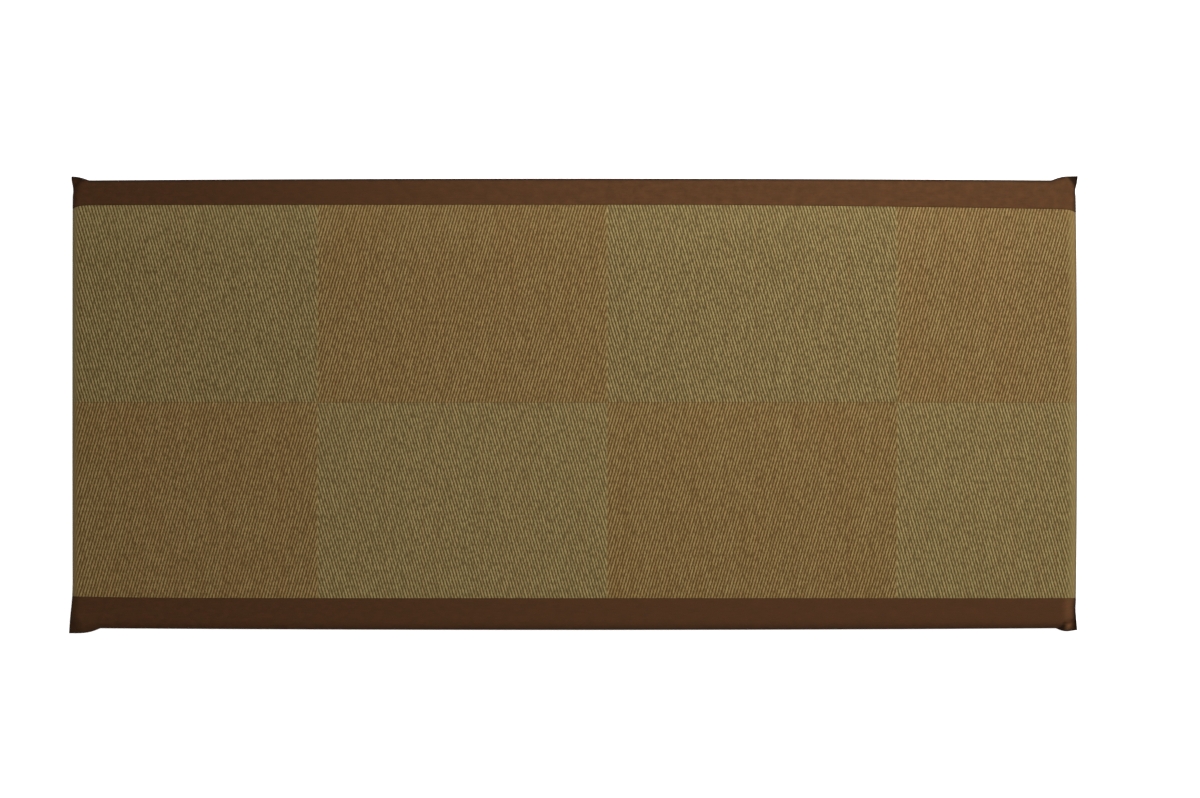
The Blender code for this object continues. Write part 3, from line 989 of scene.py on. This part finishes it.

# %% [markdown]
# ## Shared effect: painted shade
# The painted shade that each point carries becomes a colour here: the cloth's own colour where it lies
# open, and the same colour darkened in folds and on the rims. Rush and cotton both pass through it.

# %% Painted shade group
DEEPEST_SHADE = 0.20
painted_shade_group, fold_in, fold_out = start_group(
    "painted_shade_group",
    [("Colour", "NodeSocketColor"), ("Shade", "NodeSocketFloat")],
    [("Colour", "NodeSocketColor")],
)
open_light = math_of(painted_shade_group, "MULTIPLY_ADD", fold_in.outputs["Shade"], DEEPEST_SHADE - 1.0, 1.0)
folded = mixed(painted_shade_group, 1.0, fold_in.outputs["Colour"], open_light, "MULTIPLY")
give(painted_shade_group, fold_out.inputs["Colour"], folded)
print("group", painted_shade_group.name, "with", len(painted_shade_group.nodes), "nodes")

# %% [markdown]
# ## The rush: colour and relief of single stems
# The ribs are in the mesh, and the stems are finer than its grid, so they come from nodes. A stem's
# number is its place along the mat divided by the pitch. Where it floats over the warps follows from
# that number and the place across: one warp further for each next stem, up in one field and down in the
# next. That gives a mask of light floats with dark gaps between them, the round of each stem for the
# bump, and a number for each stem that gives it its own shade of green, straw or reddish brown. A
# picture of rush would be quicker, but it would repeat, and its stems would blur in a close look.

# %% Twill group: which way the ribs of a field lean
twill, twill_in, twill_out = start_group(
    "rush_twill",
    [("Place", "NodeSocketVector")],
    [
        ("Green Field", "NodeSocketFloat"),
        ("Float", "NodeSocketFloat"),
        ("Stem Round", "NodeSocketFloat"),
        ("Stem Number", "NodeSocketFloat"),
        ("Float Number", "NodeSocketFloat"),
        ("Plain", "NodeSocketFloat"),
    ],
)
split = add_node(twill, "ShaderNodeSeparateXYZ", {0: twill_in.outputs["Place"]})
from_crossing = math_of(twill, "SUBTRACT", split.outputs["X"], CROSSING_X)
field_number = math_of(twill, "FLOOR", math_of(twill, "DIVIDE", from_crossing, FIELD_LENGTH))
odd_field = math_of(twill, "FLOORED_MODULO", field_number, 2.0)
far_half = math_of(twill, "GREATER_THAN", split.outputs["Y"], 0.0)
brown_field = math_of(twill, "COMPARE", odd_field, far_half, 0.5)
green_field = math_of(twill, "SUBTRACT", 1.0, brown_field)
lean = math_of(twill, "MULTIPLY_ADD", brown_field, 2.0, -1.0)
print("fields change every", round(FIELD_LENGTH, 4), "m from", CROSSING_X, "m")

# %% Twill group: stems and floats
FLOAT_CORE = 0.16
FLOAT_EDGE = 0.42
stem_place = math_of(twill, "DIVIDE", from_crossing, STEM_PITCH)
stem_number = math_of(twill, "FLOOR", stem_place)
stem_part = math_of(twill, "SUBTRACT", math_of(twill, "SUBTRACT", stem_place, stem_number), 0.5)
from_stem_middle = math_of(twill, "MULTIPLY", 4.0, math_of(twill, "MULTIPLY", stem_part, stem_part))
stem_round = math_of(twill, "SUBTRACT", 1.0, from_stem_middle)
warp_place = math_of(twill, "DIVIDE", split.outputs["Y"], WARP_PITCH)
leaning = math_of(twill, "MULTIPLY", warp_place, lean)
stem_middle = math_of(twill, "ADD", stem_number, 0.5)
float_place = math_of(twill, "DIVIDE", math_of(twill, "SUBTRACT", stem_middle, leaning), STEMS_PER_RIB)
float_number = math_of(twill, "ROUND", float_place)
from_float = math_of(twill, "ABSOLUTE", math_of(twill, "SUBTRACT", float_place, float_number))
float_mask = ramp(twill, from_float, FLOAT_CORE, FLOAT_EDGE, 1.0, 0.0)
print("stems every", round(STEM_PITCH * 1000, 2), "mm")

# %% Twill group: ends and arrowheads
# At the turned-down ends, and at the arrowheads between two fields, the ribs fade into an even tone
END_BLEND_OUT = 0.008
RIGHT_BLEND_IN = 0.012
RIGHT_PLAIN_SHARE = 0.75
LEFT_BLEND_IN = 0.003
LEFT_PLAIN_SHARE = 0.80
ARROW_TIP = 0.0017
ARROW_SHARE = 0.60
right_start = PLAIN_END - RIGHT_BLEND_IN
right_end = PLAIN_END + END_BLEND_OUT
right_strip = ramp(twill, split.outputs["X"], right_start, right_end, 0.0, RIGHT_PLAIN_SHARE)
left_start = -PLAIN_END - END_BLEND_OUT
left_end = LEFT_BLEND_IN - PLAIN_END
left_strip = ramp(twill, split.outputs["X"], left_start, left_end, LEFT_PLAIN_SHARE, 0.0)
end_strip = math_of(twill, "MAXIMUM", right_strip, left_strip)
field_part = math_of(twill, "PINGPONG", from_crossing, FIELD_LENGTH / 2)
field_join = ramp(twill, math_of(twill, "ABSOLUTE", field_part), 0.0, ARROW_TIP, ARROW_SHARE, 0.0)
from_middle_line = math_of(twill, "ABSOLUTE", split.outputs["Y"])
middle_join = ramp(twill, from_middle_line, 0.0, ARROW_TIP, ARROW_SHARE, 1.0)
float_mask = math_of(twill, "MULTIPLY", float_mask, middle_join)
plain_share = math_of(twill, "MAXIMUM", end_strip, field_join)
for label, value in (
    ("Green Field", green_field),
    ("Float", float_mask),
    ("Stem Round", stem_round),
    ("Stem Number", stem_number),
    ("Float Number", float_number),
    ("Plain", plain_share),
):
    give(twill, twill_out.inputs[label], value)
print("group", twill.name, "with", len(twill.nodes), "nodes")

# %% [markdown]
# ## The rush: dyes
# Green and brown stems make the two kinds of field. Single stems lean to pink, longer streaks to straw
# and wide patches to green, so that no field is one colour. Between the floats the eye looks down into
# the weave, onto the warps, so the gaps are dark: partly the warps' own colour and partly painted shade.

# %% Dyes of the rush
GREEN_RUSH = linear(134, 118, 74)
BROWN_RUSH = linear(130, 105, 60)
PINK_RUSH = linear(137, 100, 63)
STRAW_RUSH = linear(145, 126, 80)
# Colours of the gaps: the warps down in the weave, darkened with painted shade
GREEN_GAP_SHADED = linear(63, 45, 9)
BROWN_GAP_SHADED = linear(69, 44, 6)
PINK_FROM = 0.70
PINK_TO = 0.95
PINK_SHARE = 0.45
STRAW_SHARE = 0.35
GREEN_SHARE = 0.25
# Changes of tone in a metre, along the mat and across it
STREAKS = (75.0, 7.0, 1.0)
PATCHES = (9.0, 5.0, 1.0)
FLECKS = (230.0, 130.0, 1.0)
print("stems that lean to pink", round((1.0 - (PINK_FROM + PINK_TO) / 2) * 100), "in a hundred")

# %% Light of the rush
FLOAT_LEAST = 0.60
FLOAT_SPREAD = 0.55
FLECK_LEAST = 0.60
FLECK_SPREAD = 0.80
# Painted shade at the edges of a stem, where it rounds away
STEM_EDGE_LIGHT = 0.60
# Share of stem colour in the even tone of the ends and arrowheads; it is high, so the turned ends are pale,
# a painted highlight where the rush turns over them
END_SHARE = 0.70
# More of it in the far rows, a painted light where the rush rises towards the far strip, and in the green
# fields of the near half
FAR_ROWS_PAINTED_LIGHT_FROM = 0.27
FAR_ROWS_PAINTED_LIGHT = 0.06
NEAR_GREEN_SHARE = 0.035
MIDDLE_BLEND = 0.001
GAP_ROUGHNESS = 0.85
STEM_ROUGHNESS = 0.55
RUSH_SPECULAR = 0.15
RUSH_BUMP_STRENGTH = 0.6
RUSH_BUMP_HEIGHT = 0.0005
print("light of a float from", FLOAT_LEAST, "to", FLOAT_LEAST + FLOAT_SPREAD)

# %% Start the rush material
rush = bpy.data.materials.new("woven_rush")
rush.use_nodes = True
tree = rush.node_tree
shader = tree.nodes["Principled BSDF"]
place = add_node(tree, "ShaderNodeAttribute", attribute_name="cloth_place").outputs["Vector"]
weave = place_group(tree, twill, {"Place": place})
stem_random = add_node(
    tree,
    "ShaderNodeTexWhiteNoise",
    {"W": weave.outputs["Stem Number"]},
    noise_dimensions="1D",
)
pair = add_node(
    tree,
    "ShaderNodeCombineXYZ",
    {"X": weave.outputs["Stem Number"], "Y": weave.outputs["Float Number"]},
)
float_random = add_node(tree, "ShaderNodeTexWhiteNoise", {"Vector": pair.outputs[0]}, noise_dimensions="2D")
streaks = place_group(tree, tone_drift, {"Place": place, "Stretch": STREAKS, "Detail": 2.0})
patches = place_group(tree, tone_drift, {"Place": place, "Stretch": PATCHES, "Detail": 2.0})
flecks = place_group(tree, tone_drift, {"Place": place, "Stretch": FLECKS, "Detail": 1.0})
print("material", rush.name, "starts with", len(tree.nodes), "nodes")

# %% Colour of the stems and gaps
green = weave.outputs["Green Field"]
stem_colour = mixed(tree, green, BROWN_RUSH, GREEN_RUSH)
pink_stem = ramp(tree, stem_random.outputs["Value"], PINK_FROM, PINK_TO)
pink_share = math_of(tree, "MULTIPLY", pink_stem, PINK_SHARE)
stem_colour = mixed(tree, pink_share, stem_colour, PINK_RUSH)
straw_share = math_of(tree, "MULTIPLY", streaks.outputs["Tone"], STRAW_SHARE)
stem_colour = mixed(tree, straw_share, stem_colour, STRAW_RUSH)
green_share = math_of(tree, "MULTIPLY", patches.outputs["Tone"], GREEN_SHARE)
stem_colour = mixed(tree, green_share, stem_colour, GREEN_RUSH)
shaded_gap_colour = mixed(tree, green, BROWN_GAP_SHADED, GREEN_GAP_SHADED)
print("with its dyes it has", len(tree.nodes), "nodes")

# %% Light on the weave, and the finished rush
# Painted shade: darkest in the gaps between floats, and darker towards the edges of each round stem
round_light = ramp(tree, weave.outputs["Stem Round"], 0.0, 1.0, STEM_EDGE_LIGHT, 1.0)
light = math_of(tree, "MULTIPLY", weave.outputs["Float"], round_light)
float_light = math_of(tree, "MULTIPLY_ADD", float_random.outputs["Value"], FLOAT_SPREAD, FLOAT_LEAST)
fleck_light = math_of(tree, "MULTIPLY_ADD", flecks.outputs["Tone"], FLECK_SPREAD, FLECK_LEAST)
own_light = math_of(tree, "MULTIPLY", float_light, fleck_light)
woven = math_of(tree, "MULTIPLY", light, own_light)
across = add_node(tree, "ShaderNodeSeparateXYZ", {0: place}).outputs["Y"]
# Painted light: the far rows are paler
woven = math_of(tree, "ADD", woven, ramp(tree, across, FAR_ROWS_PAINTED_LIGHT_FROM, FAR_FIELD, 0.0, FAR_ROWS_PAINTED_LIGHT))
near_half = ramp(tree, across, MIDDLE_BLEND, -MIDDLE_BLEND, 0.0, NEAR_GREEN_SHARE)
near_green = math_of(tree, "MULTIPLY", green, near_half)
woven = math_of(tree, "ADD", woven, near_green)
shown = part_way(tree, weave.outputs["Plain"], woven, END_SHARE)
rush_colour = mixed(tree, shown, shaded_gap_colour, stem_colour)
# Painted shade of folds and rims
shade = add_node(tree, "ShaderNodeAttribute", attribute_name="painted_fold_shade").outputs["Fac"]
folded_rush = place_group(tree, painted_shade_group, {"Colour": rush_colour, "Shade": shade})
give(tree, shader.inputs["Base Color"], folded_rush.outputs["Colour"])
give(tree, shader.inputs["Roughness"], ramp(tree, light, 0.0, 1.0, GAP_ROUGHNESS, STEM_ROUGHNESS))
shader.inputs["Specular IOR Level"].default_value = RUSH_SPECULAR
bump = add_node(
    tree,
    "ShaderNodeBump",
    {"Strength": RUSH_BUMP_STRENGTH, "Distance": RUSH_BUMP_HEIGHT, "Height": light},
)
give(tree, shader.inputs["Normal"], bump.outputs[0])
rush_face.data.materials.append(rush)
print("material", rush.name, "with", len(tree.nodes), "nodes")

# %% [markdown]
# ## The cotton: a plain weave
# The border strips and the base are plain-woven cotton: each thread passes over one and under one. Two
# crossed sine waves give the small cushions of such a weave, and noise that is drawn out along the
# threads gives its slubs. Border and base use the same group, with finer threads on the border.

# %% Plain weave group
SLUBS = (45.0, 380.0, 45.0)
plain_weave, plain_in, plain_out = start_group(
    "plain_weave",
    [("Place", "NodeSocketVector"), ("Threads", "NodeSocketFloat")],
    [("Height", "NodeSocketFloat"), ("Slub", "NodeSocketFloat")],
)
threads = plain_in.outputs["Threads"]
plain_split = add_node(plain_weave, "ShaderNodeSeparateXYZ", {0: plain_in.outputs["Place"]})
turn_x = math_of(plain_weave, "SINE", math_of(plain_weave, "MULTIPLY", plain_split.outputs["X"], threads))
turn_y = math_of(plain_weave, "SINE", math_of(plain_weave, "MULTIPLY", plain_split.outputs["Y"], threads))
crossing = math_of(plain_weave, "MULTIPLY", turn_x, turn_y)
slub_place = scaled(plain_weave, plain_in.outputs["Place"], SLUBS)
slub = add_node(plain_weave, "ShaderNodeTexNoise", {"Vector": slub_place, "Scale": 1.0, "Detail": 2.0})
give(plain_weave, plain_out.inputs["Height"], math_of(plain_weave, "MULTIPLY_ADD", crossing, 0.5, 0.5))
give(plain_weave, plain_out.inputs["Slub"], slub.outputs["Fac"])
print("group", plain_weave.name, "with", len(plain_weave.nodes), "nodes")

# %% Dye and light of the cotton
# Painted light: the cotton is paler towards the right, and the far strip more than the near one, where the
# lamps light it most
COTTON_PAINTED_LIGHT_FROM = -0.95
COTTON_PAINTED_LIGHT_TO = 0.25
NEAR_STRIP_PAINTED_LIGHT = 0.32
WARM_PATCHES = (75.0, 90.0, 75.0)
WARM_SHARE = 0.5
COOL_PATCHES = (48.0, 60.0, 48.0)
COOL_SHARE = 0.4
THREAD_SPREAD = 0.35
THREAD_LEAST = 0.75
SLUB_SPREAD = 0.30
SLUB_LEAST = 0.85
COTTON_SPECULAR = 0.06
COTTON_BUMP_STRENGTH = 0.5
COTTON_BUMP_HEIGHT = 0.0002
print("the dye is faded in full from", COTTON_PAINTED_LIGHT_TO, "m to the right of the middle")


# %% A cotton material
def cotton(name, main, warm, cool, painted_light_colour, threads, roughness):
    """A plain-woven cotton, uneven in its dye, and painted lighter towards the far right.

    Threads are given in radians a metre, as the sine waves of the weave take them.
    """
    material = bpy.data.materials.new(name)
    material.use_nodes = True
    tree = material.node_tree
    shader = tree.nodes["Principled BSDF"]
    place = add_node(tree, "ShaderNodeAttribute", attribute_name="cloth_place").outputs["Vector"]
    # Painted shade of folds and rims
    shade = add_node(tree, "ShaderNodeAttribute", attribute_name="painted_fold_shade").outputs["Fac"]
    split = add_node(tree, "ShaderNodeSeparateXYZ", {0: place})
    # Painted light, paler towards the far right
    painted_light_along = ramp(tree, split.outputs["X"], COTTON_PAINTED_LIGHT_FROM, COTTON_PAINTED_LIGHT_TO)
    painted_light_across = ramp(tree, split.outputs["Y"], NEAR_SIDE, FAR_SIDE, NEAR_STRIP_PAINTED_LIGHT, 1.0)
    painted_light_share = math_of(tree, "MULTIPLY", painted_light_along, painted_light_across)
    weave = place_group(tree, plain_weave, {"Place": place, "Threads": threads})
    colour = mixed(tree, painted_light_share, main, painted_light_colour)
    for dye, patches, share in ((warm, WARM_PATCHES, WARM_SHARE), (cool, COOL_PATCHES, COOL_SHARE)):
        drift = place_group(tree, tone_drift, {"Place": place, "Stretch": patches, "Detail": 3.0})
        colour = mixed(tree, math_of(tree, "MULTIPLY", drift.outputs["Tone"], share), colour, dye)
    # Painted shade: the low places of the weave, between the threads, are darker
    thread_light = math_of(tree, "MULTIPLY_ADD", weave.outputs["Height"], THREAD_SPREAD, THREAD_LEAST)
    slub_light = math_of(tree, "MULTIPLY_ADD", weave.outputs["Slub"], SLUB_SPREAD, SLUB_LEAST)
    own_light = math_of(tree, "MULTIPLY", thread_light, slub_light)
    colour = mixed(tree, 1.0, colour, own_light, "MULTIPLY")
    folded = place_group(tree, painted_shade_group, {"Colour": colour, "Shade": shade})
    give(tree, shader.inputs["Base Color"], folded.outputs["Colour"])
    give(tree, shader.inputs["Roughness"], ramp(tree, weave.outputs["Height"], 0.0, 1.0, 1.0, roughness))
    shader.inputs["Specular IOR Level"].default_value = COTTON_SPECULAR
    bump = add_node(
        tree,
        "ShaderNodeBump",
        {
            "Strength": COTTON_BUMP_STRENGTH,
            "Distance": COTTON_BUMP_HEIGHT,
            "Height": weave.outputs["Height"],
        },
    )
    give(tree, shader.inputs["Normal"], bump.outputs[0])
    print("material", name, "with", len(tree.nodes), "nodes")
    return material


# %% Cotton of the borders and of the base
border_cotton = cotton(
    "border_cotton",
    main=linear(62, 38, 21),
    warm=linear(78, 46, 27),
    cool=linear(62, 43, 23),
    painted_light_colour=linear(86, 57, 34),
    threads=5200.0,
    roughness=0.8,
)
base_cotton = cotton(
    "base_cotton",
    main=linear(47, 30, 20),
    warm=linear(56, 33, 21),
    cool=linear(39, 29, 18),
    painted_light_colour=linear(50, 33, 20),
    threads=3400.0,
    roughness=0.9,
)
far_border.data.materials.append(border_cotton)
near_border.data.materials.append(border_cotton)
padded_body.data.materials.append(base_cotton)
print("cotton on", far_border.name, near_border.name, padded_body.name)

# %% [markdown]
# ## What each piece is
# Each piece is attached to the body it rides on, and the imported solid that it stands for is hidden.

for piece, node, finish in (
    (padded_body, "padded_base", "base_cloth"),
    (rush_face, "rush_panel", "rush"),
    (far_border, "border_far", "border_cloth"),
    (near_border, "border_near", "border_cloth"),
):
    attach(piece, "root")
    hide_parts(node)

# %% [markdown]
# ## Floor, light and camera
# The mat lies on a plain white floor under soft light. A small lamp hangs over its far right corner and
# a big one stands off to the right, so that end is a little brighter and the ribs of the weave show.
# The floor gives off a little light of its own, which keeps it white without a strong lamp. The camera
# looks straight down from high up through a long lens.

# %% Floor
FLOOR_SIZE = 60.0
FLOOR_DROP = 0.0002
FLOOR_GREY = (0.8, 0.8, 0.8, 1.0)
FLOOR_ROUGHNESS = 0.9
FLOOR_GLOW = 0.70
WHITE = (1.0, 1.0, 1.0, 1.0)
floor_mesh = bmesh.new()
bmesh.ops.create_grid(floor_mesh, x_segments=1, y_segments=1, size=FLOOR_SIZE / 2)
bmesh.ops.translate(floor_mesh, verts=floor_mesh.verts[:], vec=(0.0, 0.0, -FLOOR_DROP))
floor = as_object("floor", floor_mesh)
floor_paint = bpy.data.materials.new("floor_paint")
floor_paint.use_nodes = True
floor_shader = floor_paint.node_tree.nodes["Principled BSDF"]
floor_shader.inputs["Base Color"].default_value = FLOOR_GREY
floor_shader.inputs["Roughness"].default_value = FLOOR_ROUGHNESS
floor_shader.inputs["Emission Color"].default_value = WHITE
floor_shader.inputs["Emission Strength"].default_value = FLOOR_GLOW
floor.data.materials.append(floor_paint)

# %% Light of the room
LIGHT_AT_HORIZON = 0.20
LIGHT_OVERHEAD = 0.93
world = bpy.data.worlds.new("soft_room")
world.use_nodes = True
sky = world.node_tree.nodes["Background"]
sky.inputs["Color"].default_value = WHITE
direction = add_node(world.node_tree, "ShaderNodeTexCoord").outputs["Generated"]
height = add_node(world.node_tree, "ShaderNodeSeparateXYZ", {0: direction}).outputs["Z"]
room_light = ramp(world.node_tree, height, 0.0, 1.0, LIGHT_AT_HORIZON, LIGHT_OVERHEAD)
give(world.node_tree, sky.inputs["Strength"], room_light)
bpy.context.scene.world = world
bpy.context.scene.view_settings.view_transform = "Standard"
print("room light from", LIGHT_AT_HORIZON, "at the horizon to", LIGHT_OVERHEAD, "overhead")

# %% Lamps
Lamp = namedtuple("Lamp", "name place size watts seen")
LAMPS = (
    Lamp("key_lamp", (0.75, 0.70, 1.6), size=0.8, watts=22.0, seen=False),
    Lamp("side_lamp", (4.0, 1.0, 2.2), size=1.5, watts=66.0, seen=True),
)


def add_lamp(lamp):
    """A square lamp that shines on the middle of the mat."""
    data = bpy.data.lights.new(lamp.name, "AREA")
    data.shape = "SQUARE"
    data.size = lamp.size
    data.energy = lamp.watts
    lamp_object = bpy.data.objects.new(lamp.name, data)
    lamp_object.location = lamp.place
    lamp_object.rotation_euler = (-Vector(lamp.place)).to_track_quat("-Z", "Y").to_euler()
    lamp_object.visible_camera = lamp.seen
    bpy.context.scene.collection.objects.link(lamp_object)


for lamp in LAMPS:
    add_lamp(lamp)
    print(lamp.name, "of", lamp.watts, "W, at", round(Vector(lamp.place).length, 2), "m")


# %% Camera
FRAME_WIDTH = 2.377
LENS = 100.0
SENSOR = 36.0
CAMERA_X = 0.0531
CAMERA_Y = 0.0107
camera_data = bpy.data.cameras.new("camera")
camera_data.lens = LENS
camera_data.sensor_width = SENSOR
camera = bpy.data.objects.new("camera", camera_data)
camera.location = (CAMERA_X, CAMERA_Y, THICKNESS / 2 + FRAME_WIDTH * LENS / SENSOR)
bpy.context.scene.collection.objects.link(camera)
bpy.context.scene.camera = camera
print("camera", round(camera.location.z, 2), "m up")
